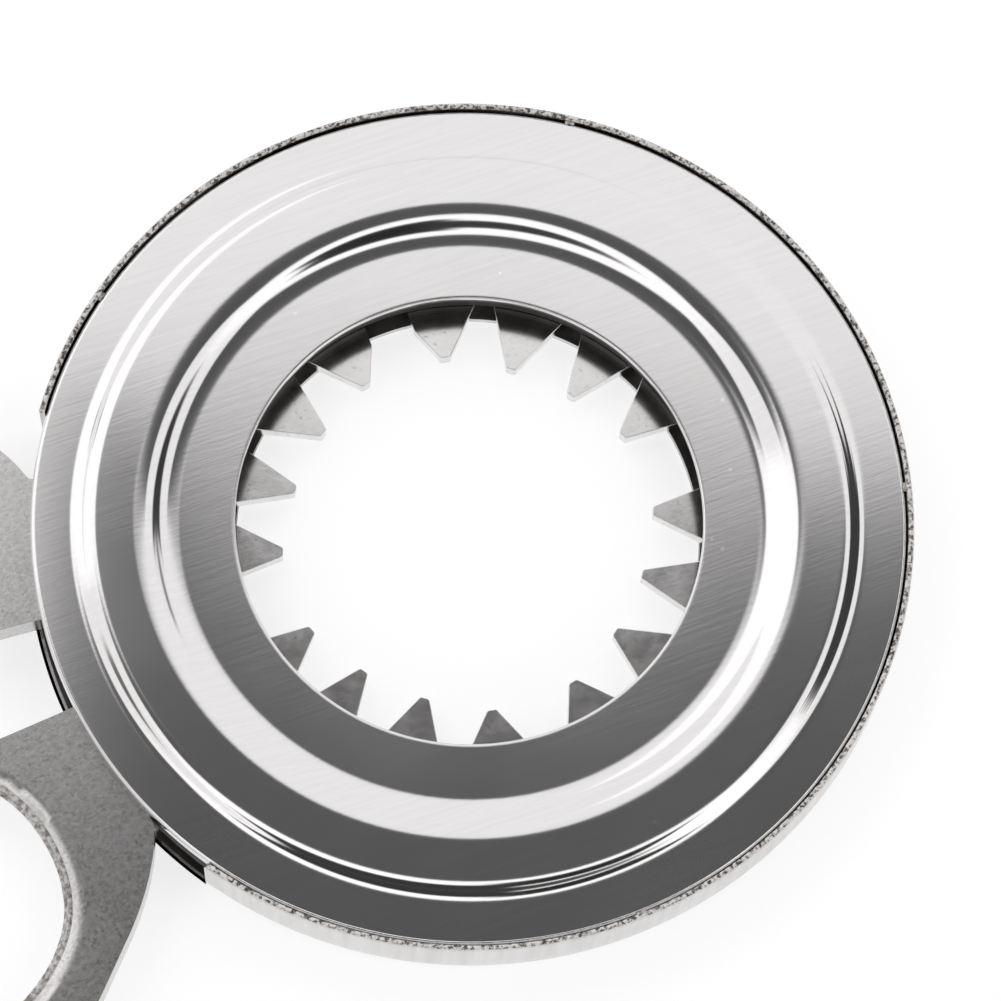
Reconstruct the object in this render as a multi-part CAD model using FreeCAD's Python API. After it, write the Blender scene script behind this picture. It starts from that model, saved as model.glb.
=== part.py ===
"""Case back opener: a round stamped head with four toothed jaws, squeezed shut by two handles.

Millimetres, +Z up. The origin is on the axis of the round opening, in the plane the head rests on.
The handles point towards -X, and the tool is symmetric about the XZ plane. It is drawn at rest, with
the jaws part way in. Squeezing the handles turns the two rings against each other, and the crossed
spiral slots in the rings draw the four drive pins, and the jaws with them, towards the axis.
"""
import FreeCAD, Part
import math
import os

os.makedirs("parts", exist_ok=True)

Vec = FreeCAD.Vector
ORIGIN = Vec(0, 0, 0)
Z = Vec(0, 0, 1)

# ---- driving dimensions -------------------------------------------------------------------------
OPENING_R = 20.0          # round opening in the pan floor and in the cover
PAN_INNER_R = 37.5        # inside of the drawn pan wall
PAN_SHEET = 0.5           # pan sheet, floor and wall
COVER_SHEET = 0.8         # cover sheet
JAW_T = 1.3               # jaw plate
RING_T = 1.3              # each handle's ring plate
PLAY = 0.15               # gap between plates that slide on each other
RIM_ABOVE_HOLE = 1.1      # pan rim above the cover's inner flat
CROWN_ABOVE_HOLE = 1.15   # pressed ring of the cover above its inner flat
OUTER_ABOVE_HOLE = 0.6    # outer flat of the cover above its inner flat
COVER_GAP = 0.12          # radial gap between the cover's turned-down edge and the pan wall
COVER_SKIRT = 1.2         # height of the cover's turned-down edge
COVER_EDGE_IN_R = 0.05    # inside radius where the cover turns down
PAN_CORNER_R = 1.6        # outside radius where the pan floor turns up into the wall

JAW_COUNT = 4
JAW_IN = 2.6              # jaw travel inwards from rest, handles squeezed
JAW_OUT = 4.6             # jaw travel outwards from rest, handles spread
RATE = 0.6                # jaw travel per degree that each handle turns
TOOTH_TIP_W = 0.8         # blunt width of a tooth tip
TOOTH_TIP_ROUND = 0.3     # rounding of its two corners
ROOT_WALL = 1.4           # the tooth roots lie this far outside the opening at rest
TOOTH_OVERLAP = 1.0       # how far a tooth's wedge reaches into the jaw's plate
JAW_RIM_GAP = 0.6         # jaw edge to pan wall, jaws fully out
JAW_SIDE_PLAY = 0.3       # gap between neighbouring jaws, jaws fully in

PIN_R = 1.2               # drive pin
PIN_OUT = 7.0             # drive pin outside the opening, at rest
PIN_CHAMFER = 0.2         # at a drive pin's top
STUD_R = 0.9              # guide stud
STUD_OFF = 8.6            # guide studs to each side of the jaw's axis
SLOT_WALL = 1.0           # jaw left between the tooth roots and a guide slot
SLOT_PLAY = 0.15          # gap on each side of a pin or stud in its slot

RING_BORE_GAP = 0.8       # ring bore outside the opening
RING_RIM_GAP = 0.3        # ring edge to pan wall, on which the ring turns

HANDLES_SHUT_GAP = 2.6    # gap between the handles' inner edges, squeezed shut
ROOT_TO_CUT = 0.8         # degrees between a spread handle's root and the end of the wall
SHOULDER_W = 1.6          # sloping shoulder around a finger loop, on each face
SHOULDER_DEEP = 0.7       # depth of that shoulder
LOOP_STEPS = 40           # points on an outline that runs alongside the loop's edge
NECK_LAP = 0.3            # how far the web from a ring reaches beyond the pan wall
ROOT_LAP = 2.0            # how far the blade reaches in over the ring's edge

TACK_R = 0.4              # weld tack
TACK_BELOW_RIM = 0.2      # top of a tack below the pan rim
TACK_STEP = 72.0          # degrees from one tack to the next
TACK_FIRST = -88.0        # degrees of the first tack
TACK_COUNT = 4

# The cover's section between its inner flat and its outer flat: distance outside the opening, and
# height above the cover's edge there.
COVER_LINE = (
    (4.6, 0.1),
    (8.8, CROWN_ABOVE_HOLE),
    (11.8, CROWN_ABOVE_HOLE),
    (14.0, OUTER_ABOVE_HOLE),
)

# A jaw's teeth from its broad one to its narrow ones: how far the tip lies inside the opening's
# radius, measured along the jaw, the tip's offset across the jaw, the lean of the tooth in degrees
# and the angle between its flanks.
TEETH = (
    (6.35, 8.45, 34.0, 66.0),
    (4.90, 2.85, 8.5, 54.0),
    (4.90, -2.85, -11.5, 45.0),
    (6.35, -8.45, -23.0, 50.0),
)

# The handle outlines are drawn in the squeezed pose: distance beyond the pan wall, and distance
# from the handle's inner edge.
LOOP_HOLE = (
    (7.4, 4.4),
    (5.7, 10.2),
    (7.0, 16.6),
    (12.6, 21.4),
    (21.6, 23.6),
    (31.0, 21.8),
    (36.0, 15.0),
    (35.0, 8.2),
    (28.6, 4.0),
    (20.0, 2.9),
    (12.0, 2.7),
)
LOOP_OUTER = (
    (-2.7, 12.5),
    (-0.3, 16.6),
    (2.1, 19.3),
    (4.6, 21.6),
    (10.2, 26.2),
    (19.5, 29.2),
    (30.5, 28.2),
    (39.0, 22.0),
    (41.6, 12.5),
    (37.5, 3.6),
    (31.0, 0.0),
)

# ---- heights and radii that follow ----------------------------------------------------------------
PAN_OUTER_R = PAN_INNER_R + PAN_SHEET
JAW_Z = PAN_SHEET + PLAY
LOWER_RING_Z = JAW_Z + JAW_T + PLAY
UPPER_RING_Z = LOWER_RING_Z + RING_T + PLAY
RINGS_TOP = UPPER_RING_Z + RING_T
HOLE_Z = RINGS_TOP + PLAY + COVER_SHEET
CROWN_Z = HOLE_Z + CROWN_ABOVE_HOLE
OUTER_Z = HOLE_Z + OUTER_ABOVE_HOLE
RIM_Z = HOLE_Z + RIM_ABOVE_HOLE
REACH = 4 * PAN_INNER_R   # longer than anything that a cutting shape has to span
COVER_R = PAN_INNER_R - COVER_GAP
RING_IN_R = OPENING_R + RING_BORE_GAP
RING_OUT_R = PAN_INNER_R - RING_RIM_GAP
JAW_ROOT_R = OPENING_R + ROOT_WALL
JAW_OUT_R = PAN_INNER_R - JAW_RIM_GAP - JAW_OUT
CLOSE_DEG = JAW_IN / RATE
OPEN_DEG = JAW_OUT / RATE
ROOT_X = PAN_OUTER_R + LOOP_OUTER[0][0]
ROOT_Y = HANDLES_SHUT_GAP / 2 + LOOP_OUTER[0][1]
ROOT_DEG = math.degrees(math.atan2(ROOT_Y, ROOT_X)) + CLOSE_DEG
CUT_DEG = ROOT_DEG + OPEN_DEG + ROOT_TO_CUT
JAW_SLOT_R = STUD_R + SLOT_PLAY
PIN_SLOT_R = PIN_R + SLOT_PLAY
PIN_AT = OPENING_R + PIN_OUT
SLOT_START = math.sqrt((JAW_ROOT_R + SLOT_WALL) ** 2 - STUD_OFF ** 2)
STUD_AT = SLOT_START + JAW_SLOT_R + JAW_OUT


def polar(radius, degrees, z=0.0):
    """The point at a radius and an angle."""
    turn = math.radians(degrees)
    return Vec(radius * math.cos(turn), radius * math.sin(turn), z)


def turned(shape, degrees):
    """A copy of a shape, turned about the opening's axis."""
    copy = shape.copy()
    copy.rotate(ORIGIN, Z, degrees)
    return copy


def mirrored(shape):
    """A copy of a shape, mirrored in the XZ plane."""
    return shape.mirror(ORIGIN, Vec(0, 1, 0))


def plate(points, z, height):
    """A prism over a polygon of (x, y) points."""
    corners = [Vec(x, y, z) for x, y in points]
    corners.append(corners[0])
    return Part.Face(Part.makePolygon(corners)).extrude(Z * height)


def washer(inner_r, outer_r, z, height):
    """A flat ring."""
    disc = Part.makeCylinder(outer_r, height, Vec(0, 0, z))
    return disc.cut(Part.makeCylinder(inner_r, height, Vec(0, 0, z)))


def slot(path, half_width, z, height):
    """A prism over a curved slot with round ends, from three points (x, y) on its middle line."""
    start, middle, end = [Vec(x, y, z) for x, y in path]
    chord = end - start
    along = [middle - start, chord, end - middle]
    ways = [Vec(way).normalize() for way in along]
    sides = [Z.cross(way) * half_width for way in ways]
    left = [start + sides[0], middle + sides[1], end + sides[2]]
    right = [start - sides[0], middle - sides[1], end - sides[2]]
    edges = [
        Part.Arc(left[0], left[1], left[2]).toShape(),
        Part.Arc(left[2], end + ways[2] * half_width, right[2]).toShape(),
        Part.Arc(right[2], right[1], right[0]).toShape(),
        Part.Arc(right[0], start - ways[0] * half_width, left[0]).toShape(),
    ]
    return Part.Face(Part.Wire(edges)).extrude(Z * height)


def straight_slot(start_x, end_x, y, radius, z, height):
    """A prism over a straight slot with round ends, along X."""
    middle = Part.makeBox(end_x - start_x, 2 * radius, height, Vec(start_x, y - radius, z))
    first = Part.makeCylinder(radius, height, Vec(start_x, y, z))
    last = Part.makeCylinder(radius, height, Vec(end_x, y, z))
    return middle.fuse([first, last]).removeSplitter()


def one_solid(shape):
    """The single solid that a shape is made of."""
    assert len(shape.Solids) == 1, len(shape.Solids)
    assert shape.isValid()
    return shape.Solids[0]


def save(node, shape):
    """Write one node and print what it measures."""
    box = shape.BoundBox
    size = " ".join("%.2f" % value for value in (box.XLength, box.YLength, box.ZLength))
    print("%-16s %9.2f mm3  %s  solids %d" % (node, shape.Volume, size, len(shape.Solids)))
    shape.exportStep("parts/%s.step" % node)


# ---- the pan -------------------------------------------------------------------------------------
def stud_places(jaw_deg):
    """The two guide studs of a jaw."""
    for side in (1, -1):
        yield turned(Part.Vertex(Vec(STUD_AT, side * STUD_OFF, 0)), jaw_deg).Point


def bottom_pan():
    """The drawn pan: floor with the opening, and a wall that is cut away where the handles leave."""
    inner_corner = PAN_CORNER_R - PAN_SHEET
    slant = math.sqrt(0.5)
    floor_out = Vec(PAN_OUTER_R - PAN_CORNER_R, 0, 0)
    wall_out = Vec(PAN_OUTER_R, 0, PAN_CORNER_R)
    bend = Vec(PAN_OUTER_R - PAN_CORNER_R, 0, PAN_CORNER_R)
    outer_mid = bend + Vec(PAN_CORNER_R * slant, 0, -PAN_CORNER_R * slant)
    inner_mid = bend + Vec(inner_corner * slant, 0, -inner_corner * slant)
    floor_in = Vec(floor_out.x, 0, PAN_SHEET)
    wall_in = Vec(PAN_INNER_R, 0, PAN_CORNER_R)
    profile = [
        Part.LineSegment(Vec(OPENING_R, 0, 0), floor_out).toShape(),
        Part.Arc(floor_out, outer_mid, wall_out).toShape(),
        Part.LineSegment(wall_out, Vec(PAN_OUTER_R, 0, RIM_Z)).toShape(),
        Part.LineSegment(Vec(PAN_OUTER_R, 0, RIM_Z), Vec(PAN_INNER_R, 0, RIM_Z)).toShape(),
        Part.LineSegment(Vec(PAN_INNER_R, 0, RIM_Z), wall_in).toShape(),
        Part.Arc(wall_in, inner_mid, floor_in).toShape(),
        Part.LineSegment(floor_in, Vec(OPENING_R, 0, PAN_SHEET)).toShape(),
        Part.LineSegment(Vec(OPENING_R, 0, PAN_SHEET), Vec(OPENING_R, 0, 0)).toShape(),
    ]
    pan = Part.Face(Part.Wire(profile)).revolve(ORIGIN, Z, 360)
    upper = polar(REACH, 180 - CUT_DEG)
    lower = polar(REACH, 180 + CUT_DEG)
    wedge = [(0, 0), (upper.x, upper.y), (-REACH, 0), (lower.x, lower.y)]
    window = plate(wedge, PAN_SHEET, RIM_Z)
    pan = pan.cut(window.cut(Part.makeCylinder(PAN_INNER_R - PAN_CORNER_R, REACH)))
    for jaw_deg in jaw_angles():
        for place in stud_places(jaw_deg):
            pan = pan.cut(Part.makeCylinder(STUD_R, PAN_SHEET, place))
    return one_solid(pan)


# ---- the cover -----------------------------------------------------------------------------------
def rise(start, end):
    """Two arcs that leave and arrive level, from one point of a section to another."""
    middle = (start + end) * 0.5
    run = end.x - start.x
    step = end.z - start.z
    radius = (run * run + step * step) / (4 * abs(step))
    sign = 1 if step > 0 else -1
    half = math.asin(run / 2 / radius) / 2
    across = radius * math.sin(half)
    down = radius * (1 - math.cos(half))
    near = start + Vec(across, 0, sign * down)
    far = end - Vec(across, 0, sign * down)
    return [Part.Arc(start, near, middle).toShape(), Part.Arc(middle, far, end).toShape()]


def cover_face(drop):
    """The cover's section line, lowered by a drop, from the opening to the turned-down edge."""
    corner = COVER_SHEET + COVER_EDGE_IN_R
    bend_r = corner - drop
    edge = Vec(OPENING_R, 0, HOLE_Z - drop)
    knees = [Vec(OPENING_R + out, 0, HOLE_Z + up - drop) for out, up in COVER_LINE]
    turn = Vec(COVER_R - corner, 0, OUTER_Z - drop)
    skirt = Vec(COVER_R - drop, 0, OUTER_Z - corner)
    centre = Vec(COVER_R - corner, 0, OUTER_Z - corner)
    slant = math.sqrt(0.5)
    mid = centre + Vec(bend_r * slant, 0, bend_r * slant)
    foot = Vec(COVER_R - drop, 0, OUTER_Z - COVER_SKIRT)
    edges = [Part.LineSegment(edge, knees[0]).toShape()]
    edges += rise(knees[0], knees[1])
    edges.append(Part.LineSegment(knees[1], knees[2]).toShape())
    edges += rise(knees[2], knees[3])
    edges.append(Part.LineSegment(knees[3], turn).toShape())
    edges.append(Part.Arc(turn, mid, skirt).toShape())
    edges.append(Part.LineSegment(skirt, foot).toShape())
    return edges, edge, foot


def top_cover():
    """The pressed cover: inner flat, raised ring, outer flat and a turned-down edge."""
    top, top_edge, top_foot = cover_face(0)
    under, under_edge, under_foot = cover_face(COVER_SHEET)
    closing = [
        Part.LineSegment(top_edge, under_edge).toShape(),
        Part.LineSegment(top_foot, under_foot).toShape(),
    ]
    wire = Part.Wire(Part.__sortEdges__(top + under + closing))
    return one_solid(Part.Face(wire).revolve(ORIGIN, Z, 360))


# ---- the handles ---------------------------------------------------------------------------------
def squeezed(points):
    """Outline points of a handle as vectors, in the squeezed pose of the handle on the +Y side."""
    return [Vec(-PAN_OUTER_R - out, HANDLES_SHUT_GAP / 2 + up, 0) for out, up in points]


def loop_wire(grow, z):
    """The finger loop's outline at a height, grown outwards by a distance."""
    curve = Part.BSplineCurve()
    curve.interpolate(squeezed(LOOP_HOLE), PeriodicFlag=True)
    span = curve.LastParameter - curve.FirstParameter
    points = []
    for index in range(LOOP_STEPS):
        place, along = curve.getD1(curve.FirstParameter + span * index / LOOP_STEPS)
        points.append(place + along.cross(Z).normalize() * grow + Z * z)
    grown = Part.BSplineCurve()
    grown.interpolate(points, PeriodicFlag=True)
    return Part.Wire(grown.toShape())


def finger_loop(z, height):
    """What the finger loop takes out of the blade: a hole with a sloping shoulder on each face."""
    lead = SHOULDER_DEEP
    shape = Part.Face(loop_wire(0, z - lead)).extrude(Z * (height + 2 * lead))
    slope = SHOULDER_W / SHOULDER_DEEP
    for face_z, way in ((z, 1), (z + height, -1)):
        outside = loop_wire(SHOULDER_W + slope * lead, face_z - way * lead)
        inside = loop_wire(0, face_z + way * SHOULDER_DEEP)
        shape = shape.fuse(Part.makeLoft([outside, inside], True, True))
    return shape


def blade(z, height):
    """The handle outside the head: a flat blade around the finger loop, in the squeezed pose."""
    points = squeezed(LOOP_OUTER)
    curve = Part.BSplineCurve()
    curve.interpolate(points)
    inner_end = points[-1]
    root_inner = Vec(-RING_OUT_R, inner_end.y, 0)
    root = Vec(-RING_OUT_R + ROOT_LAP, points[0].y, 0)
    edges = [
        curve.toShape(),
        Part.LineSegment(inner_end, root_inner).toShape(),
        Part.LineSegment(root_inner, Vec(root.x, root_inner.y, 0)).toShape(),
        Part.LineSegment(Vec(root.x, root_inner.y, 0), root).toShape(),
        Part.LineSegment(root, points[0]).toShape(),
    ]
    body = Part.Face(Part.Wire(edges)).extrude(Z * height)
    body.translate(Z * z)
    return body.cut(finger_loop(z, height))


def handle(ring_z):
    """The handle on the +Y side, one piece with the ring that turns in the head."""
    blade_z = LOWER_RING_Z
    blade_t = RINGS_TOP - LOWER_RING_Z
    outside = blade(blade_z, blade_t)
    root = outside.common(Part.makeCylinder(REACH, RING_T, Vec(0, 0, ring_z)))
    beyond = outside.cut(Part.makeCylinder(RING_OUT_R + PLAY, REACH))
    arm = turned(beyond.fuse(root), -CLOSE_DEG)
    ring = washer(RING_IN_R, RING_OUT_R, ring_z, RING_T)
    shape = ring.fuse(neck(ring_z)).fuse(arm)
    shape = shape.cut(Part.makeCylinder(RING_IN_R, REACH))
    for jaw_deg in jaw_angles():
        shape = shape.cut(spiral_slot(jaw_deg, ring_z))
    return one_solid(shape.removeSplitter())


def neck(ring_z):
    """The web between the ring and the blade, through the gap in the pan wall."""
    inner = Part.makeBox(REACH, REACH, RING_T, Vec(-REACH, HANDLES_SHUT_GAP / 2, ring_z))
    inner = turned(inner, -CLOSE_DEG)
    sector = Part.makeCylinder(PAN_OUTER_R + NECK_LAP, RING_T, Vec(0, 0, ring_z), Z, ROOT_DEG)
    sector = turned(sector, 180 - ROOT_DEG)
    return sector.common(inner)


def spiral_slot(jaw_deg, ring_z):
    """The slot that drives one pin: turning the ring by the squeezing angle draws the pin in."""
    path = []
    for turn in (-OPEN_DEG, (CLOSE_DEG - OPEN_DEG) / 2, CLOSE_DEG):
        place = polar(PIN_AT - RATE * turn, jaw_deg - turn)
        path.append((place.x, place.y))
    return slot(path, PIN_SLOT_R, ring_z - PLAY, RING_T + 2 * PLAY)


# ---- the jaws ------------------------------------------------------------------------------------
def jaw_angles():
    """The four jaws sit between the tool's two axes."""
    return [360 / JAW_COUNT * (index + 0.5) for index in range(JAW_COUNT)]


def tooth(tip_in, tip_y, lean, flanks):
    """A wedge with a blunt, rounded tip, reaching into the jaw's plate."""
    tip_x = OPENING_R - tip_in
    length = JAW_ROOT_R + TOOTH_OVERLAP - math.hypot(tip_x, tip_y)
    spread = length * math.tan(math.radians(flanks / 2))
    half_tip = TOOTH_TIP_W / 2
    outline = [
        (0, -half_tip),
        (length, -half_tip - spread),
        (length, half_tip + spread),
        (0, half_tip),
    ]
    wedge = plate(outline, JAW_Z, JAW_T)
    upright = [edge for edge in wedge.Edges if edge.BoundBox.ZLength > JAW_T / 2]
    tips = [edge for edge in upright if edge.BoundBox.XMax < length / 2]
    wedge = wedge.makeFillet(TOOTH_TIP_ROUND, tips)
    wedge.rotate(ORIGIN, Z, lean)
    wedge.translate(Vec(tip_x, tip_y, 0))
    return wedge


def jaw(jaw_deg):
    """One jaw: a plate with four teeth, two guide slots and the drive pin's hole."""
    shape = washer(JAW_ROOT_R, JAW_OUT_R, JAW_Z, JAW_T)
    shape = shape.fuse([tooth(*values) for values in TEETH]).removeSplitter()
    half = 180 / JAW_COUNT
    back = (JAW_IN * math.sin(math.radians(half)) + JAW_SIDE_PLAY / 2) / math.sin(math.radians(half))
    edge = polar(REACH, half)
    sector = plate([(back, 0), (back + edge.x, -edge.y), (back + edge.x, edge.y)], 0, RIM_Z)
    shape = shape.common(sector)
    for side in (1, -1):
        slot_y = side * STUD_OFF
        guide = straight_slot(STUD_AT - JAW_OUT, STUD_AT + JAW_IN, slot_y, JAW_SLOT_R, JAW_Z, JAW_T)
        shape = shape.cut(guide)
    shape = shape.cut(Part.makeCylinder(PIN_R, JAW_T, Vec(PIN_AT, 0, JAW_Z)))
    if math.sin(math.radians(2 * jaw_deg)) < 0:
        shape = mirrored(shape)
    return one_solid(turned(shape, jaw_deg))


def drive_pin(jaw_deg):
    """The pin that ties a jaw to both rings, with a small chamfer at its top."""
    height = RINGS_TOP - JAW_Z
    pin = Part.makeCylinder(PIN_R, height, Vec(0, 0, JAW_Z))
    top = [edge for edge in pin.Edges if edge.BoundBox.ZMin > RINGS_TOP - PIN_CHAMFER]
    pin = pin.makeChamfer(PIN_CHAMFER, top)
    pin.translate(polar(PIN_AT, jaw_deg))
    return one_solid(pin)


def guide_stud(place):
    """A stud pressed into the pan floor, standing in a jaw's guide slot."""
    return one_solid(Part.makeCylinder(STUD_R, JAW_Z + JAW_T, place))


def cover_tack(degrees):
    """A weld tack that bridges the gap between the cover's edge and the pan wall."""
    depth = RIM_Z - OUTER_Z
    foot = polar(PAN_INNER_R - COVER_GAP / 2, degrees, OUTER_Z - depth)
    return one_solid(Part.makeCylinder(TACK_R, 2 * depth - TACK_BELOW_RIM, foot))


save("bottom_pan", bottom_pan())
save("top_cover", top_cover())
save("handle_upper", handle(UPPER_RING_Z))
save("handle_lower", mirrored(handle(LOWER_RING_Z)))
studs = 0
for number, jaw_angle in enumerate(jaw_angles(), start=1):
    save("jaw_%d" % number, jaw(jaw_angle))
    save("drive_pin_%d" % number, drive_pin(jaw_angle))
    for stud_place in stud_places(jaw_angle):
        studs += 1
        save("guide_stud_%d" % studs, guide_stud(stud_place))
for number in range(TACK_COUNT):
    save("cover_tack_%d" % (number + 1), cover_tack(TACK_FIRST + number * TACK_STEP))
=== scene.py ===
"""A case back opener in brushed and drawn stainless steel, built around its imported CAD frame.

Sizes are in metres, as the frame's are: a length is written in millimetres and multiplied by MM.
The frame's origin is on the axis of the round opening, in the plane the head rests on.
"""
import bmesh
import bpy
import math
from mathutils import Matrix, Vector, noise


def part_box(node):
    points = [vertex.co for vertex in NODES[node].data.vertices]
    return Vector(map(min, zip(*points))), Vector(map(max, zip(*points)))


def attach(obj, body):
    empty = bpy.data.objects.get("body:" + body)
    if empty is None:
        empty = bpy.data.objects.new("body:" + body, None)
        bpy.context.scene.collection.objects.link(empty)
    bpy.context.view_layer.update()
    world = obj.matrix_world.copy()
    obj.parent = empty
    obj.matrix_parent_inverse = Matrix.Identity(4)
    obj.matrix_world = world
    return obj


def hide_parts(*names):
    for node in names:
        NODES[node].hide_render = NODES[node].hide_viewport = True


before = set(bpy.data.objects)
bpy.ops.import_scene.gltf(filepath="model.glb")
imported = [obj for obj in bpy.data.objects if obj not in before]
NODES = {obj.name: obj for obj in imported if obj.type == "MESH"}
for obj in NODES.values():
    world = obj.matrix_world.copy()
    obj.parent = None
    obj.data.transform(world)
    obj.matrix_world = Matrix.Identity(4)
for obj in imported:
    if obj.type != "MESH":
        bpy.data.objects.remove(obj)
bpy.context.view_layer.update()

MM = 0.001
JAWS = [name for name in sorted(NODES) if name.startswith("jaw_")]
PINS = [name for name in sorted(NODES) if name.startswith("drive_pin_")]
STUDS = [name for name in sorted(NODES) if name.startswith("guide_stud_")]
TACKS = [name for name in sorted(NODES) if name.startswith("cover_tack_")]


# ---- what the frame says ---------------------------------------------------------------------------
def radii(name):
    """The least and the greatest distance of a node's corners from the opening's axis."""
    reach = [math.hypot(corner.co.x, corner.co.y) for corner in NODES[name].data.vertices]
    return min(reach), max(reach)


def wall_end():
    """The angle from +X at which the pan's wall ends, where the handles leave."""
    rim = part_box("bottom_pan")[1].z
    ends = [abs(math.atan2(v.co.y, v.co.x)) for v in NODES["bottom_pan"].data.vertices if v.co.z > 0.9 * rim]
    return max(ends)


OPENING_R, PAN_R = radii("bottom_pan")
COVER_R = radii("top_cover")[1]
RIM_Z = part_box("bottom_pan")[1].z
COVER_FOOT_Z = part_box("top_cover")[0].z
CROWN_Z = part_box("top_cover")[1].z
BLADE_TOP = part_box("handle_upper")[1].z
WALL_END = wall_end()


# ---- sizes the frame doesn't give -----------------------------------------------------------------
PAN_SHEET = 0.5 * MM
PAN_CORNER = 1.6 * MM         # outer radius between the pan's floor and its wall
PAN_STEPS = 1440              # steps round the pan
TORN_DEEP = 0.35 * MM         # height of the sheared rim
TORN_WAVES = 60               # how fast the rim's roughness changes on its way round
RING_R = 37.2 * MM            # edge of the handles' rings inside the head
SHOULDER_DEEP = 0.7 * MM      # of the sloping shoulder around a finger loop
COVER_SHEET = 0.8 * MM
COVER_STEPS = 480             # steps round the cover
LIP = 0.18 * MM               # radius of the rolled lip at the cover's opening
EDGE_BEND = 0.32 * MM         # radius of the bend at the cover's turned-down edge
EDGE_R = COVER_R - EDGE_BEND
HOLE_Z = CROWN_Z - 1.15 * MM  # cover at the edge of its opening
INNER_Z = HOLE_Z + 0.1 * MM   # outer end of the cover's inner flat
OUTER_Z = HOLE_Z + 0.6 * MM   # outer flat of the cover
STEP_IN = (OPENING_R + 4.6 * MM, OPENING_R + 8.8 * MM)      # where the cover's inner step starts and ends
STEP_OUT = (OPENING_R + 11.8 * MM, OPENING_R + 14.0 * MM)   # and its outer step


# ---- camera ---------------------------------------------------------------------------------------
TILT = math.radians(18.5)         # of the line of sight from the opening's axis
SIDE = math.radians(-116.1)       # where the camera stands, round the axis from +X
GRAIN = math.radians(20.5)        # slope of the tool's X axis in the picture
SIGHT = 380 * MM                  # distance of the camera from the head
LENS = 160.5                      # focal length for a sensor 36 wide
OFF_RIGHT = 2.6 * MM              # the head stands left of the picture's middle by this much
OFF_UP = 1.1 * MM                 # and below it by this much


def make_camera():
    """The camera, over the near side of the head, turned so that the handles leave on the left."""
    back = Vector((math.cos(SIDE) * math.sin(TILT), math.sin(SIDE) * math.sin(TILT), math.cos(TILT)))
    up_hint = Vector((math.sin(GRAIN), math.cos(GRAIN), 0))
    right = up_hint.cross(back).normalized()
    up = back.cross(right)
    aim = Vector((0, 0, RIM_Z)) + right * OFF_RIGHT + up * OFF_UP
    data = bpy.data.cameras.new("camera")
    data.lens = LENS
    data.clip_start = 0.01
    camera = bpy.data.objects.new("camera", data)
    bpy.context.scene.collection.objects.link(camera)
    turn = Matrix((right, up, back)).transposed().to_4x4()
    camera.matrix_world = Matrix.Translation(aim + back * SIGHT) @ turn
    bpy.context.scene.camera = camera
    return right, up


# ---- node trees -----------------------------------------------------------------------------------
def add(tree, kind, inputs=(), **settings):
    """A node with its settings, and its inputs set to values or joined to other nodes' sockets."""
    made = tree.nodes.new(kind)
    for name, value in settings.items():
        setattr(made, name, value)
    for key, value in dict(inputs).items():
        if isinstance(value, bpy.types.NodeSocket):
            tree.links.new(value, made.inputs[key])
        else:
            made.inputs[key].default_value = value
    return made


def math_node(tree, operation, first, second=0.0):
    """The result of one operation on numbers."""
    return add(tree, "ShaderNodeMath", {0: first, 1: second}, operation=operation).outputs[0]


def sum_of(tree, first, second):
    """The sum of two values."""
    return math_node(tree, "ADD", first, second)


def product(tree, first, second):
    """The product of two values."""
    return math_node(tree, "MULTIPLY", first, second)


def ramp(tree, value, low, high, out_low=0.0, out_high=1.0):
    """A smooth rise of a value between two limits."""
    span = {"Value": value, "From Min": low, "From Max": high, "To Min": out_low, "To Max": out_high}
    return add(tree, "ShaderNodeMapRange", span, interpolation_type="SMOOTHSTEP").outputs["Result"]


def blend(tree, amount, first, second):
    """A colour between two colours."""
    return add(tree, "ShaderNodeMix", {0: amount, 6: first, 7: second}, data_type="RGBA").outputs[2]


def grey(level, warmth=0.0):
    """A near-neutral colour, a little warmer or cooler."""
    return (level * (1 + warmth), level, level * (1 - warmth), 1)


def grain(tree, scale, detail=2.0, rough=0.5, stretch=(1, 1, 1), turn=0.0):
    """Noise on Object coordinates, in waves per metre, stretched along the piece's own axes."""
    place = add(tree, "ShaderNodeTexCoord").outputs["Object"]
    mapped = add(tree, "ShaderNodeMapping", {"Vector": place, "Scale": stretch, "Rotation": (0, 0, turn)})
    values = {"Vector": mapped.outputs[0], "Scale": scale, "Detail": detail, "Roughness": rough}
    return add(tree, "ShaderNodeTexNoise", values).outputs["Fac"]


def specks(tree, scale, size):
    """Small scattered dots, 1 inside a dot and 0 elsewhere."""
    place = add(tree, "ShaderNodeTexCoord").outputs["Object"]
    cells = add(tree, "ShaderNodeTexVoronoi", {"Vector": place, "Scale": scale, "Randomness": 1.0})
    spread = grain(tree, scale / 7, 1.0)
    near = ramp(tree, cells.outputs["Distance"], size, size * 0.6)
    return product(tree, near, ramp(tree, spread, 0.60, 0.66))


def radius_and_height(tree):
    """Distance of a point from the opening's axis, and its height."""
    place = add(tree, "ShaderNodeTexCoord").outputs["Object"]
    parts = add(tree, "ShaderNodeSeparateXYZ", {"Vector": place})
    flat = add(tree, "ShaderNodeCombineXYZ", {"X": parts.outputs[0], "Y": parts.outputs[1]})
    length = add(tree, "ShaderNodeVectorMath", {0: flat.outputs[0]}, operation="LENGTH")
    return length.outputs["Value"], parts.outputs[2]


def new_material(name):
    """An empty metal material: its tree and its shader."""
    material = bpy.data.materials.new(name)
    material.use_nodes = True
    tree = material.node_tree
    shader = tree.nodes["Principled BSDF"]
    shader.inputs["Metallic"].default_value = 1.0
    return material, tree, shader


def finish_metal(tree, shader, colour, roughness, height, strength, distance):
    """Joins colour, roughness and a bump to a shader."""
    bump = add(tree, "ShaderNodeBump", {"Height": height, "Strength": strength, "Distance": distance})
    for name, value in (("Base Color", colour), ("Roughness", roughness), ("Normal", bump.outputs[0])):
        tree.links.new(value, shader.inputs[name])


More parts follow.
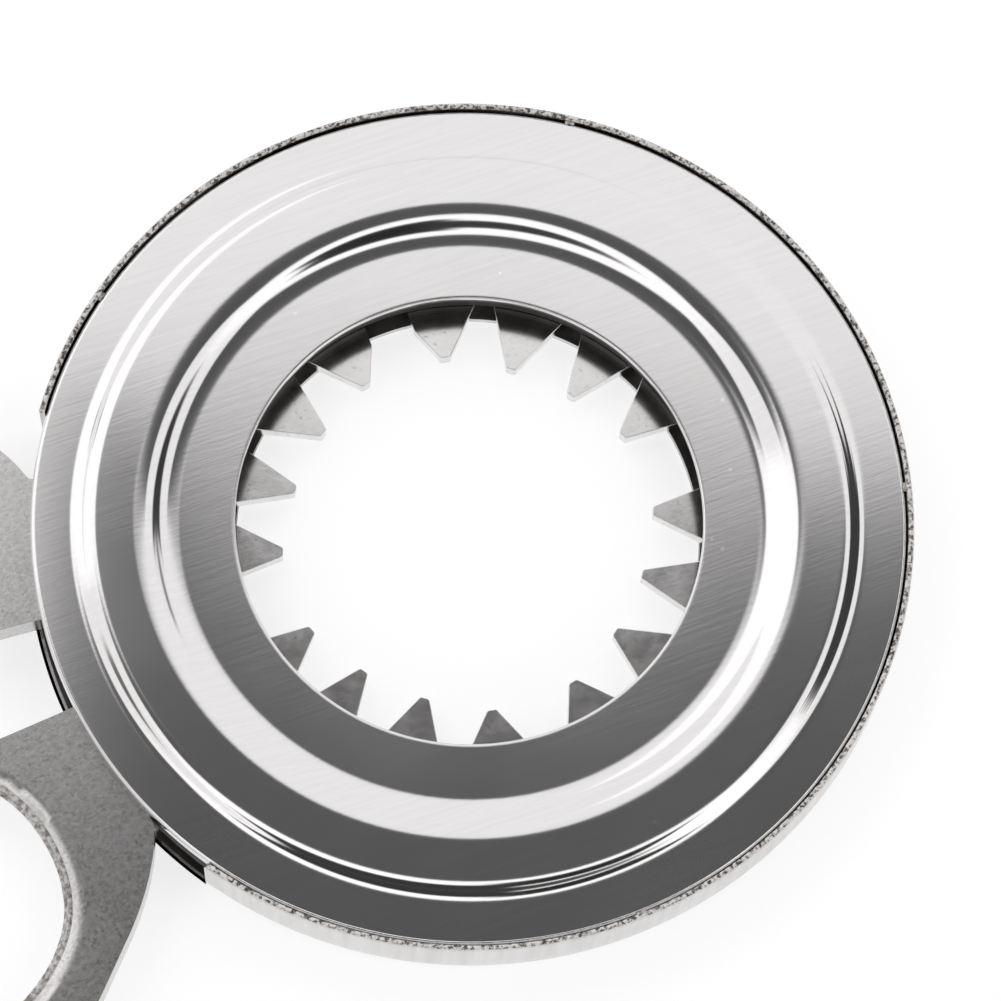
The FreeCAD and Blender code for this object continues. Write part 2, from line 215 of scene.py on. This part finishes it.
# ---- finishes -------------------------------------------------------------------------------------
def ring_mask(tree, radius, inner, outer, soft):
    """1 between two radii and 0 elsewhere."""
    rise = ramp(tree, radius, inner, inner + soft)
    fall = ramp(tree, radius, outer, outer - soft)
    return product(tree, rise, fall)


def brushed_cover():
    """Stainless sheet brushed along X on its flats, smoother where the press drew it over a step."""
    material, tree, shader = new_material("cover_brushed")
    radius = radius_and_height(tree)[0]
    lines = grain(tree, 60, 3.0, 0.6, (1, 45, 8))
    fine = grain(tree, 420, 3.0, 0.7, (1, 9, 8))
    cloud = grain(tree, 90, 2.0, 0.5)
    inner_step = ring_mask(tree, radius, STEP_IN[0] + 0.6 * MM, STEP_IN[1] - 0.6 * MM, 0.8 * MM)
    outer_step = ring_mask(tree, radius, STEP_OUT[0] + 0.2 * MM, STEP_OUT[1] - 0.2 * MM, 0.5 * MM)
    edge = ramp(tree, radius, EDGE_R, EDGE_R + 0.5 * MM)
    drawn = math_node(tree, "MAXIMUM", math_node(tree, "MAXIMUM", inner_step, outer_step), edge)
    flat = math_node(tree, "SUBTRACT", 1.0, drawn)
    dots = specks(tree, 420, 0.10)
    tone = sum_of(tree, product(tree, lines, 0.6), product(tree, fine, 0.4))
    colour = blend(tree, ramp(tree, tone, 0.34, 0.66), grey(0.772, 0.004), grey(0.808, 0.004))
    colour = blend(tree, product(tree, dots, 0.8), colour, grey(0.97))
    rough = sum_of(tree, 0.085, product(tree, flat, 0.035))
    rough = sum_of(tree, rough, product(tree, math_node(tree, "SUBTRACT", cloud, 0.5), 0.04))
    relief = sum_of(tree, product(tree, lines, 0.36), product(tree, fine, 0.5))
    relief = product(tree, relief, sum_of(tree, 0.12, product(tree, flat, 0.88)))
    finish_metal(tree, shader, colour, rough, relief, 0.22, 0.014 * MM)
    shader.inputs["Anisotropic"].default_value = 0.4
    across = add(tree, "ShaderNodeCombineXYZ", {"Y": 1.0})
    tree.links.new(across.outputs[0], shader.inputs["Tangent"])
    return material


def drawn_pan():
    """Drawn stainless sheet: a bright wall with faint draw marks and a rough sheared rim."""
    material, tree, shader = new_material("pan_drawn")
    radius, height = radius_and_height(tree)
    top = ramp(tree, height, RIM_Z - 0.36 * MM, RIM_Z - 0.30 * MM)
    rim = product(tree, top, ramp(tree, radius, PAN_R - 0.08 * MM, PAN_R - 0.14 * MM))
    marks = grain(tree, 900, 2.0, 0.6, (1, 1, 0.05))
    crumbs = grain(tree, 2600, 3.0, 0.7)
    wave = grain(tree, 70, 2.0, 0.5)
    wall = blend(tree, ramp(tree, marks, 0.3, 0.7), grey(0.57, 0.012), grey(0.66, 0.010))
    torn = blend(tree, ramp(tree, crumbs, 0.40, 0.56), grey(0.10, 0.10), grey(0.74, 0.03))
    colour = blend(tree, rim, wall, torn)
    rough = sum_of(tree, product(tree, rim, 0.3), product(tree, wave, 0.44))
    rim_relief = product(tree, product(tree, crumbs, rim), 6.0)
    relief = sum_of(tree, product(tree, marks, 0.5), rim_relief)
    finish_metal(tree, shader, colour, rough, relief, 0.35, 0.03 * MM)
    return material


def painted_shade_inside():
    """Near-black painted shade on the inside of the head, mottled."""
    material, tree, shader = new_material("painted_shade_inside")
    smear = grain(tree, 300, 3.0, 0.6)
    # painted shade: a near-black colour stands in for the shade under the cover and inside the pan
    colour = blend(tree, ramp(tree, smear, 0.35, 0.7), grey(0.030, 0.05), grey(0.085, 0.08))
    rough = sum_of(tree, 0.25, product(tree, smear, 0.35))
    finish_metal(tree, shader, colour, rough, smear, 0.3, 0.05 * MM)
    shader.inputs["Metallic"].default_value = 0.6
    return material


def satin_casting():
    """Tumbled, finely grained steel of the handles, with near-black painted shade inside the head."""
    material, tree, shader = new_material("handle_satin")
    radius = radius_and_height(tree)[0]
    pits = grain(tree, 3000, 4.0, 0.75)
    mottle = grain(tree, 2600, 3.0, 0.7)
    cloud = grain(tree, 80, 2.0, 0.5)
    dots = specks(tree, 330, 0.10)
    metal = blend(tree, ramp(tree, mottle, 0.35, 0.65), grey(0.55, 0.016), grey(0.63, 0.012))
    metal = blend(tree, ramp(tree, pits, 0.44, 0.34), metal, grey(0.44, 0.02))
    metal = blend(tree, product(tree, dots, 0.8), metal, grey(0.95))
    # painted shade: the rings inside the head, under the cover, are coloured near-black
    inside = ramp(tree, radius, RING_R + 0.10 * MM, RING_R - 0.02 * MM)
    colour = blend(tree, inside, metal, grey(0.035, 0.06))
    rough = sum_of(tree, product(tree, pits, 0.14), product(tree, cloud, 0.08))
    rough = sum_of(tree, rough, sum_of(tree, 0.13, product(tree, inside, 0.25)))
    relief = sum_of(tree, pits, product(tree, mottle, 0.8))
    finish_metal(tree, shader, colour, rough, relief, 0.30, 0.020 * MM)
    return material


def torn_casting():
    """The rough, dark inner wall of a finger loop, left as it came from the mould."""
    material, tree, shader = new_material("handle_torn")
    crumbs = grain(tree, 1800, 4.0, 0.75)
    colour = blend(tree, ramp(tree, crumbs, 0.38, 0.62), grey(0.20, 0.06), grey(0.62, 0.02))
    rough = sum_of(tree, 0.22, product(tree, crumbs, 0.3))
    finish_metal(tree, shader, colour, rough, crumbs, 0.6, 0.06 * MM)
    return material


def tumbled_jaw():
    """Grey, tumbled sheet of the jaws."""
    material, tree, shader = new_material("jaw_tumbled")
    pits = grain(tree, 2200, 3.0, 0.7)
    mottle = grain(tree, 500, 3.0, 0.6)
    lines = grain(tree, 120, 2.0, 0.6, (1, 30, 6), 0.8)
    colour = blend(tree, ramp(tree, mottle, 0.35, 0.65), grey(0.74, 0.010), grey(0.82, 0.008))
    colour = blend(tree, ramp(tree, pits, 0.40, 0.30), colour, grey(0.58))
    rough = sum_of(tree, product(tree, mottle, 0.14), 0.10)
    relief = sum_of(tree, product(tree, pits, 0.5), product(tree, lines, 0.2))
    finish_metal(tree, shader, colour, rough, relief, 0.26, 0.02 * MM)
    return material


def turned_pin():
    """Turned steel of the pins and studs."""
    material, tree, shader = new_material("pin_turned")
    rings = grain(tree, 900, 2.0, 0.5, (1, 1, 6))
    colour = blend(tree, rings, grey(0.42), grey(0.62))
    rough = sum_of(tree, product(tree, rings, 0.2), 0.2)
    finish_metal(tree, shader, colour, rough, rings, 0.25, 0.03 * MM)
    return material


def weld_bead():
    """Dull, heat-tinted weld."""
    material, tree, shader = new_material("weld_bead")
    scale = grain(tree, 3000, 3.0, 0.7)
    colour = blend(tree, ramp(tree, scale, 0.35, 0.65), grey(0.22, 0.14), grey(0.60, 0.05))
    rough = sum_of(tree, product(tree, scale, 0.3), 0.2)
    finish_metal(tree, shader, colour, rough, scale, 0.5, 0.04 * MM)
    return material


# ---- meshes ---------------------------------------------------------------------------------------
def as_object(name, mesh, *materials):
    """An object for a mesh, at the origin."""
    piece = bpy.data.objects.new(name, mesh)
    bpy.context.scene.collection.objects.link(piece)
    for material in materials:
        mesh.materials.append(material)
    return piece


def shade(mesh, angle=35):
    """Smooth faces, with edges above an angle kept sharp."""
    mesh.shade_smooth()
    mesh.set_sharp_from_angle(angle=math.radians(angle))


def arc(centre, radius, start, end, steps):
    """Points (r, z) on an arc, angles in degrees."""
    points = []
    for step in range(steps + 1):
        turn = math.radians(start + (end - start) * step / steps)
        points.append((centre[0] + radius * math.cos(turn), centre[1] + radius * math.sin(turn)))
    return points


def s_step(start, end, steps):
    """Points on a step that leaves and arrives level."""
    points = []
    run, climb = end[0] - start[0], end[1] - start[1]
    radius = (run * run + climb * climb) / (4 * abs(climb))
    for step in range(steps + 1):
        out = run * step / steps
        near = min(out, run - out)
        lift = radius - math.sqrt(radius * radius - near * near)
        lift = math.copysign(lift, climb)
        points.append((start[0] + out, start[1] + lift if out <= run / 2 else end[1] - lift))
    return points


def lathe(name, outline, angles, reshape=None):
    """A closed ring: an outline of (r, z) points, anticlockwise seen from -Y, turned through angles."""
    mesh = bpy.data.meshes.new(name)
    shell = bmesh.new()
    columns = []
    for turn in angles:
        column = []
        for radius, height in outline:
            if reshape:
                radius, height = reshape(turn, radius, height)
            column.append(shell.verts.new((radius * math.cos(turn), radius * math.sin(turn), height)))
        columns.append(column)
    count = len(outline)
    for index, column in enumerate(columns):
        after = columns[(index + 1) % len(columns)]
        for step in range(count):
            beside = (step + 1) % count
            shell.faces.new((column[step], after[step], after[beside], column[beside]))
    bmesh.ops.recalc_face_normals(shell, faces=shell.faces)
    shell.to_mesh(mesh)
    shell.free()
    return mesh


def even_turn(steps):
    """Angles all the way round."""
    return [2 * math.pi * step / steps for step in range(steps)]


def flat_run(start, end):
    """Points inside a flat run of the section, near its two ends, that keep it flat when shaded."""
    points = []
    for share in (0.04, 0.5, 0.96):
        points.append((start[0] + (end[0] - start[0]) * share, start[1] + (end[1] - start[1]) * share))
    return points


def make_cover(brushed, painted_shade):
    """The pressed cover, with a rolled lip at the opening and a turned-down edge."""
    hole_knee, crown_knee = (STEP_IN[0], INNER_Z), (STEP_IN[1], CROWN_Z)
    fall_knee, outer_knee = (STEP_OUT[0], CROWN_Z), (STEP_OUT[1], OUTER_Z)
    top = arc((OPENING_R + LIP, HOLE_Z - LIP), LIP, 180, 91.4, 7)
    top += flat_run(top[-1], hole_knee)
    top += s_step(hole_knee, crown_knee, 28)
    top += flat_run(crown_knee, fall_knee)
    top += s_step(fall_knee, outer_knee, 22)
    top += flat_run(outer_knee, (EDGE_R, OUTER_Z))
    top += arc((EDGE_R, OUTER_Z - EDGE_BEND), EDGE_BEND, 90, 0, 10)
    shown = len(top) + 1
    skirt_r = COVER_R - COVER_SHEET
    under_z = OUTER_Z - COVER_SHEET
    hole_z = HOLE_Z - COVER_SHEET
    break_out = 0.1 * MM
    hole_break = 0.15 * MM
    foot = [(COVER_R, COVER_FOOT_Z + break_out), (COVER_R - break_out, COVER_FOOT_Z), (skirt_r, COVER_FOOT_Z)]
    under = [(skirt_r, under_z - break_out), (skirt_r - break_out, under_z)]
    under += [(r, z - COVER_SHEET) for r, z in reversed(s_step(fall_knee, outer_knee, 10))]
    under += [(r, z - COVER_SHEET) for r, z in reversed(s_step(hole_knee, crown_knee, 14))]
    hole = [(OPENING_R + hole_break, hole_z), (OPENING_R, hole_z + hole_break)]
    hole.append((OPENING_R, HOLE_Z - 0.30 * MM))
    outline = top + foot + under + hole
    mesh = lathe("cover", outline, even_turn(COVER_STEPS))
    shade(mesh)
    piece = as_object("cover", mesh, brushed, painted_shade)
    count = len(outline)
    # faces under the cover (foot, underside, lower opening wall) get the painted shade; the top stays brushed
    for index, face in enumerate(mesh.polygons):
        step = index % count
        face.material_index = 0 if step < shown or step == count - 1 else 1
    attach(piece, "housing")
    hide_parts("top_cover")


def ragged_rim(turn, radius, height):
    """The sheared rim: uneven in height, with small torn notches, and no wall where the handles leave."""
    away = abs(math.atan2(math.sin(turn), math.cos(turn)))
    if away > WALL_END:
        if radius > PAN_R - PAN_CORNER - 0.1 * MM and height > PAN_SHEET:
            return radius, PAN_SHEET
        return radius, height
    if height > RIM_Z - TORN_DEEP:
        spot = Vector((math.cos(turn), math.sin(turn), 0.0)) * TORN_WAVES
        slow = noise.noise(spot * 0.25) * 0.05
        quick = noise.noise(spot * 5.0) * 0.07
        tear = max(0.0, noise.noise(spot * 2.3 + Vector((9, 3, 5))) - 0.25) * 0.22
        share = (height - (RIM_Z - TORN_DEEP)) / TORN_DEEP
        corner = min(1.0, (WALL_END - away) / 0.02)
        height -= (abs(slow) + abs(quick) + tear + 0.5 * (1 - corner) ** 2) * share * MM
        radius += noise.noise(spot * 6.0 + Vector((0, 0, height / MM))) * 0.035 * MM
    return radius, height


# Section of the sheared rim, from its outer side inwards: inwards from the wall's face, and downwards.
RIM_SECTION = ((0, 0.34), (0.01, 0.2), (0.05, 0.08), (0.13, 0.01), (0.25, 0), (0.38, 0.03), (0.46, 0.06))


def make_pan(drawn, painted_shade):
    """The drawn pan: floor, rounded corner, wall with a sheared rim, cut away for the handles."""
    inner_r = PAN_R - PAN_SHEET
    bend_middle = (PAN_R - PAN_CORNER, PAN_CORNER)
    floor_r = OPENING_R + 8 * MM
    edge = 0.10 * MM
    outline = [(OPENING_R + edge, 0), (floor_r, 0)]
    outline += arc(bend_middle, PAN_CORNER, -90, 0, 8)
    outline += [(PAN_R, PAN_CORNER + (RIM_Z - PAN_CORNER) * step / 5) for step in range(1, 5)]
    outline += [(PAN_R - inset * MM, RIM_Z - drop * MM) for inset, drop in RIM_SECTION]
    outline += [(inner_r, RIM_Z - 0.12 * MM), (inner_r, RIM_Z - 0.34 * MM), (inner_r, COVER_FOOT_Z)]
    shown = len(outline) - 1
    outline.append((inner_r, PAN_CORNER))
    outline += arc(bend_middle, PAN_CORNER - PAN_SHEET, 0, -90, 5)[1:]
    outline += [(floor_r, PAN_SHEET), (OPENING_R + edge, PAN_SHEET), (OPENING_R, PAN_SHEET - edge)]
    outline.append((OPENING_R, edge))
    angles = even_turn(PAN_STEPS)
    beside_end = 0.0002  # of a turn's angle, so that the wall ends upright
    angles += [side * (WALL_END + gap) for side in (1, -1) for gap in (-beside_end, beside_end)]
    angles = sorted(turn % (2 * math.pi) for turn in angles)
    mesh = lathe("pan", outline, angles, ragged_rim)
    shade(mesh)
    count = len(outline)
    # faces inside the head, from the cover's foot down the wall and over the floor, get the painted shade;
    # the opening's edge stays drawn
    for index, face in enumerate(mesh.polygons):
        step = index % count
        face.material_index = 0 if step < shown or step >= count - 3 else 1
    piece = as_object("pan", mesh, drawn, painted_shade)
    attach(piece, "housing")
    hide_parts("bottom_pan")


FLAT_ANGLE = 0.6      # degrees under which neighbouring triangles are one face
EDGE_ANGLE = 28       # degrees over which an edge is rounded


def softened(node, width, segments, sharp_angle):
    """A copy of a node's mesh with its edges rounded, and what stays sharper than an angle kept crisp."""
    shell = bmesh.new()
    shell.from_mesh(NODES[node].data)
    bmesh.ops.remove_doubles(shell, verts=shell.verts, dist=1e-6)
    level = math.radians(FLAT_ANGLE)
    bmesh.ops.dissolve_limit(shell, angle_limit=level, verts=shell.verts, edges=shell.edges)
    inner = [edge for edge in shell.edges if len(edge.link_faces) == 2]
    sharp = [edge for edge in inner if edge.calc_face_angle() > math.radians(EDGE_ANGLE)]
    bmesh.ops.bevel(
        shell, geom=sharp, offset=width, segments=segments, profile=0.5, affect="EDGES", clamp_overlap=True
    )
    mesh = bpy.data.meshes.new(node)
    shell.to_mesh(mesh)
    shell.free()
    shade(mesh, sharp_angle)
    return mesh


def plain(piece):
    """Turns a piece's modifiers into its mesh."""
    graph = bpy.context.evaluated_depsgraph_get()
    mesh = bpy.data.meshes.new_from_object(piece.evaluated_get(graph), depsgraph=graph)
    piece.modifiers.clear()
    piece.data = mesh


def weigh(piece):
    """Lets a piece's flat faces stay flat to the eye beside their rounded edges."""
    modifier = piece.modifiers.new("weigh", "WEIGHTED_NORMAL")
    modifier.keep_sharp = True
    modifier.weight = 100
    plain(piece)


def make_jaws(tumbled):
    """The four toothed jaws, with edges broken by tumbling."""
    for node in JAWS:
        piece = as_object(node + "_plate", softened(node, 0.09 * MM, 2, 50), tumbled)
        weigh(piece)
        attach(piece, "jaw_slider_" + node[-1])
        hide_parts(node)


def make_handles(satin):
    """The two handles, with rounded cast edges."""
    for side in ("upper", "lower"):
        node = "handle_" + side
        piece = as_object("handle_casting_" + side, softened(node, 0.26 * MM, 4, 23), satin)
        weigh(piece)
        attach(piece, side + "_handle")
        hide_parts(node)


def loop_line(node):
    """The inner edge of a finger loop's upper shoulder: its points in order, and their outward ways."""
    level = BLADE_TOP - SHOULDER_DEEP
    near = [v.co.copy() for v in NODES[node].data.vertices if abs(v.co.z - level) < 0.02 * MM]
    points = []
    for place in near:
        if all((place - other).length > 0.02 * MM for other in points):
            points.append(place)
    middle = sum(points, Vector()) / len(points)
    points.sort(key=lambda place: math.atan2(place.y - middle.y, place.x - middle.x))
    ways = []
    for index, place in enumerate(points):
        along = points[(index + 1) % len(points)] - points[index - 1]
        ways.append(Vector((along.y, -along.x, 0)).normalized())
    return points, ways


# Section of the flash left around a finger loop: inwards from the shoulder's edge, and upwards.
FLASH = (
    (-0.50, 0.10), (-0.40, 0.24), (-0.26, 0.29), (-0.10, 0.24), (0.00, 0.10), (0.02, -0.12), (0.08, -0.22),
    (0.20, -0.24), (0.30, -0.32), (0.32, -0.46), (0.22, -0.60), (0.00, -0.76), (-0.30, -0.80),
)


def make_loop_flash(side, torn):
    """The two fine ridges of flash around a finger loop, uneven as a trimmed casting's are."""
    points, ways = loop_line("handle_" + side)
    shell = bmesh.new()
    rows = []
    for place, way in zip(points, ways):
        row = []
        for inwards, upwards in FLASH:
            spot = place - way * inwards * MM + Vector((0, 0, upwards * MM))
            shake = noise.noise(spot * 900) * 0.05 + noise.noise(spot * 2600) * 0.03
            row.append(shell.verts.new(spot + (Vector((0, 0, 1)) - way) * shake * MM))
        rows.append(row)
    for index, row in enumerate(rows):
        after = rows[(index + 1) % len(rows)]
        for step in range(len(FLASH)):
            beside = (step + 1) % len(FLASH)
            shell.faces.new((row[step], after[step], after[beside], row[beside]))
    bmesh.ops.recalc_face_normals(shell, faces=shell.faces)
    mesh = bpy.data.meshes.new("loop_flash_" + side)
    shell.to_mesh(mesh)
    shell.free()
    shade(mesh, 60)
    piece = as_object("loop_flash_" + side, mesh, torn)
    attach(piece, side + "_handle")


def make_pins(turned):
    """The pins and studs keep their CAD shape."""
    for node in PINS + STUDS:
        NODES[node].data.materials.clear()
        NODES[node].data.materials.append(turned)


def crumb_tree(name, material):
    """A Geometry Nodes tree: a small uneven lump of metal at each point of a mesh."""
    tree = bpy.data.node_groups.new(name, "GeometryNodeTree")
    face = tree.interface
    face.new_socket("Geometry", in_out="INPUT", socket_type="NodeSocketGeometry")
    for label in ("Lump radius", "Least size", "Unevenness", "Height"):
        face.new_socket(label, in_out="INPUT", socket_type="NodeSocketFloat")
    face.new_socket("Seed", in_out="INPUT", socket_type="NodeSocketInt")
    face.new_socket("Geometry", in_out="OUTPUT", socket_type="NodeSocketGeometry")
    points, radius, least, uneven, tall, seed = add(tree, "NodeGroupInput").outputs[:6]
    ball = add(tree, "GeometryNodeMeshIcoSphere", {"Radius": radius, "Subdivisions": 2}).outputs["Mesh"]
    chance = add(tree, "FunctionNodeRandomValue", {2: least, 3: 1.0, "Seed": seed}, data_type="FLOAT")
    size = chance.outputs[1]
    scale = add(tree, "ShaderNodeCombineXYZ", {0: size, 1: size, 2: product(tree, size, tall)}).outputs[0]
    lumps = add(tree, "GeometryNodeInstanceOnPoints", {"Points": points, "Instance": ball, "Scale": scale})
    real = add(tree, "GeometryNodeRealizeInstances", {0: lumps.outputs[0]})
    waves = math_node(tree, "DIVIDE", 1.1, radius)
    lift = add(tree, "ShaderNodeTexNoise", {"Scale": waves, "Detail": 2.0}).outputs["Color"]
    centred = add(tree, "ShaderNodeVectorMath", {0: lift, 1: (0.5, 0.5, 0.5)}, operation="SUBTRACT")
    reach = {0: centred.outputs[0], "Scale": product(tree, radius, uneven)}
    shift = add(tree, "ShaderNodeVectorMath", reach, operation="SCALE").outputs[0]
    moved = add(tree, "GeometryNodeSetPosition", {"Geometry": real.outputs[0], "Offset": shift})
    painted = add(tree, "GeometryNodeSetMaterial", {"Geometry": moved.outputs[0], "Material": material})
    add(tree, "NodeGroupOutput", {0: painted.outputs[0]})
    return tree


def grow(name, points, tree, values):
    """A piece with a lump at each of some points, as a plain mesh."""
    mesh = bpy.data.meshes.new(name)
    mesh.from_pydata(points, [], [])
    piece = as_object(name, mesh)
    modifier = piece.modifiers.new("lumps", "NODES")
    modifier.node_group = tree
    for item in tree.interface.items_tree:
        if item.item_type == "SOCKET" and item.in_out == "INPUT" and item.name in values:
            modifier[item.identifier] = values[item.name]
    plain(piece)
    piece.data.shade_smooth()
    return piece


# The beads of one weld tack: along the rim from its middle, and downwards from its top.
BEADS = ((-0.22, 0.30), (0.02, 0.22), (0.24, 0.34))


def make_tacks(bead):
    """The weld tacks: three run-together beads where each tack bridges the gap."""
    tree = crumb_tree("weld_beads", bead)
    points = []
    for node in TACKS:
        low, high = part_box(node)
        middle = (low + high) / 2
        side = Vector((-middle.y, middle.x, 0)).normalized()
        for shift, drop in BEADS:
            points.append(Vector((middle.x, middle.y, high.z - drop * MM)) + side * shift * MM)
    values = {"Lump radius": 0.26 * MM, "Least size": 0.75, "Unevenness": 0.5, "Height": 0.9, "Seed": 4}
    piece = grow("weld_tacks", points, tree, values)
    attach(piece, "housing")
    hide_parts(*TACKS)


def make_burrs(drawn):
    """Torn burrs left by the shears along the pan's rim."""
    tree = crumb_tree("rim_burrs", drawn)
    points = []
    places = 900
    for step in range(places):
        turn = 2 * math.pi * (step + 0.5 + 0.9 * noise.noise(Vector((step * 0.37, 4, 8)))) / places
        away = abs(math.atan2(math.sin(turn), math.cos(turn)))
        spread = noise.noise(Vector((step * 0.61, 1, 2)))
        bare = noise.noise(Vector((step * 0.093, 7, 3))) < -0.15
        if bare or away > WALL_END - 0.012:
            continue
        reach = PAN_R - (0.28 + 0.22 * spread) * MM
        points.append((reach * math.cos(turn), reach * math.sin(turn), RIM_Z - 0.10 * MM))
    values = {"Lump radius": 0.085 * MM, "Least size": 0.4, "Unevenness": 0.9, "Height": 0.8, "Seed": 11}
    piece = grow("rim_burrs", points, tree, values)
    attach(piece, "housing")


# ---- studio ---------------------------------------------------------------------------------------
ROOF_Z = 400 * MM     # height of the light tent's roof
ROOF_REACH = 1100 * MM
FLOOR_REACH = 1500 * MM
LIGHT_TINT = (1.0, 0.985, 0.988, 1)
CEILING_TOP = 131     # far edge of the dark ceiling on the middle line, in millimetres as in FIELDS
LEAN_LEFT = 0.36      # how fast that edge moves away to the left
LEAN_RIGHT = 0.06     # and to the right
CEILING = 1           # which of the fields is the ceiling

# Fields of the roof: the middle and the half width towards the picture's right and towards its top,
# in millimetres from the opening's axis, the softness of the edge, and the level of light.
FIELDS = (
    ((150, -190), (420, 140), 60, 1.32),      # a lamp panel on the near side
    ((0, 35), (185, 85), 12, 0.092),          # the dark ceiling, whose far edge is CEILING_TOP
    ((-335, 250), (265, 156), 14, 1.30),      # its missing far left corner
    ((118, -200), (92, 74), 14, 0.02),        # the camera
    ((-85, -310), (150, 145), 16, 0.04),      # the near opening
    ((20, -385), (280, 80), 25, 0.05),        # and its wider part
    ((425, 90), (62, 150), 22, 0.04),         # the opening on the right
    ((660, 160), (200, 260), 30, 0.045),      # and its farther part
    ((-508, 354), (34, 34), 20, 0.08),        # a lamp's stand
    ((-540, -160), (110, 150), 30, 0.16),     # another
)


def across_and_along(tree, place, right, up):
    """The parts of a place that lie level towards the picture's right and towards its top."""
    parts = []
    for axis in (right, up):
        level_axis = Vector((axis.x, axis.y, 0)).normalized()
        dot = add(tree, "ShaderNodeVectorMath", {0: place, 1: level_axis}, operation="DOT_PRODUCT")
        parts.append(dot.outputs["Value"])
    return parts


def make_world():
    """Even white light all round, a little dimmer near the horizon."""
    world = bpy.data.worlds.new("studio")
    bpy.context.scene.world = world
    world.use_nodes = True
    tree = world.node_tree
    tree.nodes.clear()
    way = add(tree, "ShaderNodeTexCoord").outputs["Generated"]
    height = add(tree, "ShaderNodeSeparateXYZ", {"Vector": way}).outputs[2]
    level = ramp(tree, height, 0.0, 0.4, 0.72, 1.0)
    background = add(tree, "ShaderNodeBackground", {"Color": LIGHT_TINT, "Strength": level})
    seen = add(tree, "ShaderNodeBackground", {"Color": (1, 1, 1, 1), "Strength": 1.0})
    sight = add(tree, "ShaderNodeLightPath").outputs["Is Camera Ray"]
    mixed = add(tree, "ShaderNodeMixShader", {0: sight, 1: background.outputs[0], 2: seen.outputs[0]})
    add(tree, "ShaderNodeOutputWorld", {"Surface": mixed.outputs[0]})


def level_square(name, reach, height, facing_up):
    """A square mesh, level, with its middle on the opening's axis."""
    corners = [(x * reach, y * reach, height) for x, y in ((-1, -1), (1, -1), (1, 1), (-1, 1))]
    mesh = bpy.data.meshes.new(name)
    mesh.from_pydata(corners, [], [(0, 1, 2, 3) if facing_up else (3, 2, 1, 0)])
    return mesh


def make_roof(right, up):
    """The roof of the light tent: white, with its dark and bright fields."""
    material = bpy.data.materials.new("roof_light")
    material.use_nodes = True
    tree = material.node_tree
    tree.nodes.clear()
    place = add(tree, "ShaderNodeTexCoord").outputs["Object"]
    scaled = add(tree, "ShaderNodeVectorMath", {0: place, "Scale": 1 / MM}, operation="SCALE").outputs[0]
    across, along = across_and_along(tree, scaled, right, up)
    lean_left = product(tree, math_node(tree, "MINIMUM", across, 0.0), -LEAN_LEFT)
    lean_right = product(tree, math_node(tree, "MAXIMUM", across, 0.0), LEAN_RIGHT)
    leaning = math_node(tree, "SUBTRACT", along, sum_of(tree, lean_left, lean_right))
    level = 1.0
    for index, ((mid_x, mid_y), (half_x, half_y), soft, value) in enumerate(FIELDS):
        off_x = math_node(tree, "ABSOLUTE", math_node(tree, "SUBTRACT", across, mid_x))
        inside_x = ramp(tree, off_x, half_x + soft, half_x - soft)
        if index == CEILING:
            near = ramp(tree, along, mid_y - half_y - soft, mid_y - half_y + soft)
            far = ramp(tree, leaning, CEILING_TOP + soft, CEILING_TOP - soft)
            inside_y = product(tree, near, far)
        else:
            off_y = math_node(tree, "ABSOLUTE", math_node(tree, "SUBTRACT", along, mid_y))
            inside_y = ramp(tree, off_y, half_y + soft, half_y - soft)
        change = math_node(tree, "SUBTRACT", value, level)
        level = sum_of(tree, level, product(tree, change, product(tree, inside_x, inside_y)))
    glow = add(tree, "ShaderNodeEmission", {"Color": LIGHT_TINT, "Strength": level})
    add(tree, "ShaderNodeOutputMaterial", {"Surface": glow.outputs[0]})
    mesh = level_square("roof", ROOF_REACH, ROOF_Z, False)
    roof = as_object("roof", mesh, material)
    roof.visible_camera = False
    roof.visible_shadow = False


def make_floor():
    """A plain pale floor, lit a little from within, as a light table is."""
    mesh = level_square("floor", FLOOR_REACH, 0, True)
    material, _, shader = new_material("floor_white")
    matt = {"Metallic": 0.0, "Roughness": 0.9, "Specular IOR Level": 0.0, "Base Color": grey(0.45)}
    glow = {"Emission Color": grey(1), "Emission Strength": 0.68}
    for name, value in (matt | glow).items():
        shader.inputs[name].default_value = value
    as_object("floor", mesh, material)


# ---- the object in its studio ---------------------------------------------------------------------
right, up = make_camera()
make_world()
make_roof(right, up)
make_floor()
bpy.context.scene.view_settings.view_transform = "Standard"
painted_shade = painted_shade_inside()
make_cover(brushed_cover(), painted_shade)
drawn = drawn_pan()
make_pan(drawn, painted_shade)
make_burrs(drawn)
make_jaws(tumbled_jaw())
make_handles(satin_casting())
torn = torn_casting()
make_loop_flash("upper", torn)
make_loop_flash("lower", torn)
make_pins(turned_pin())
make_tacks(weld_bead())
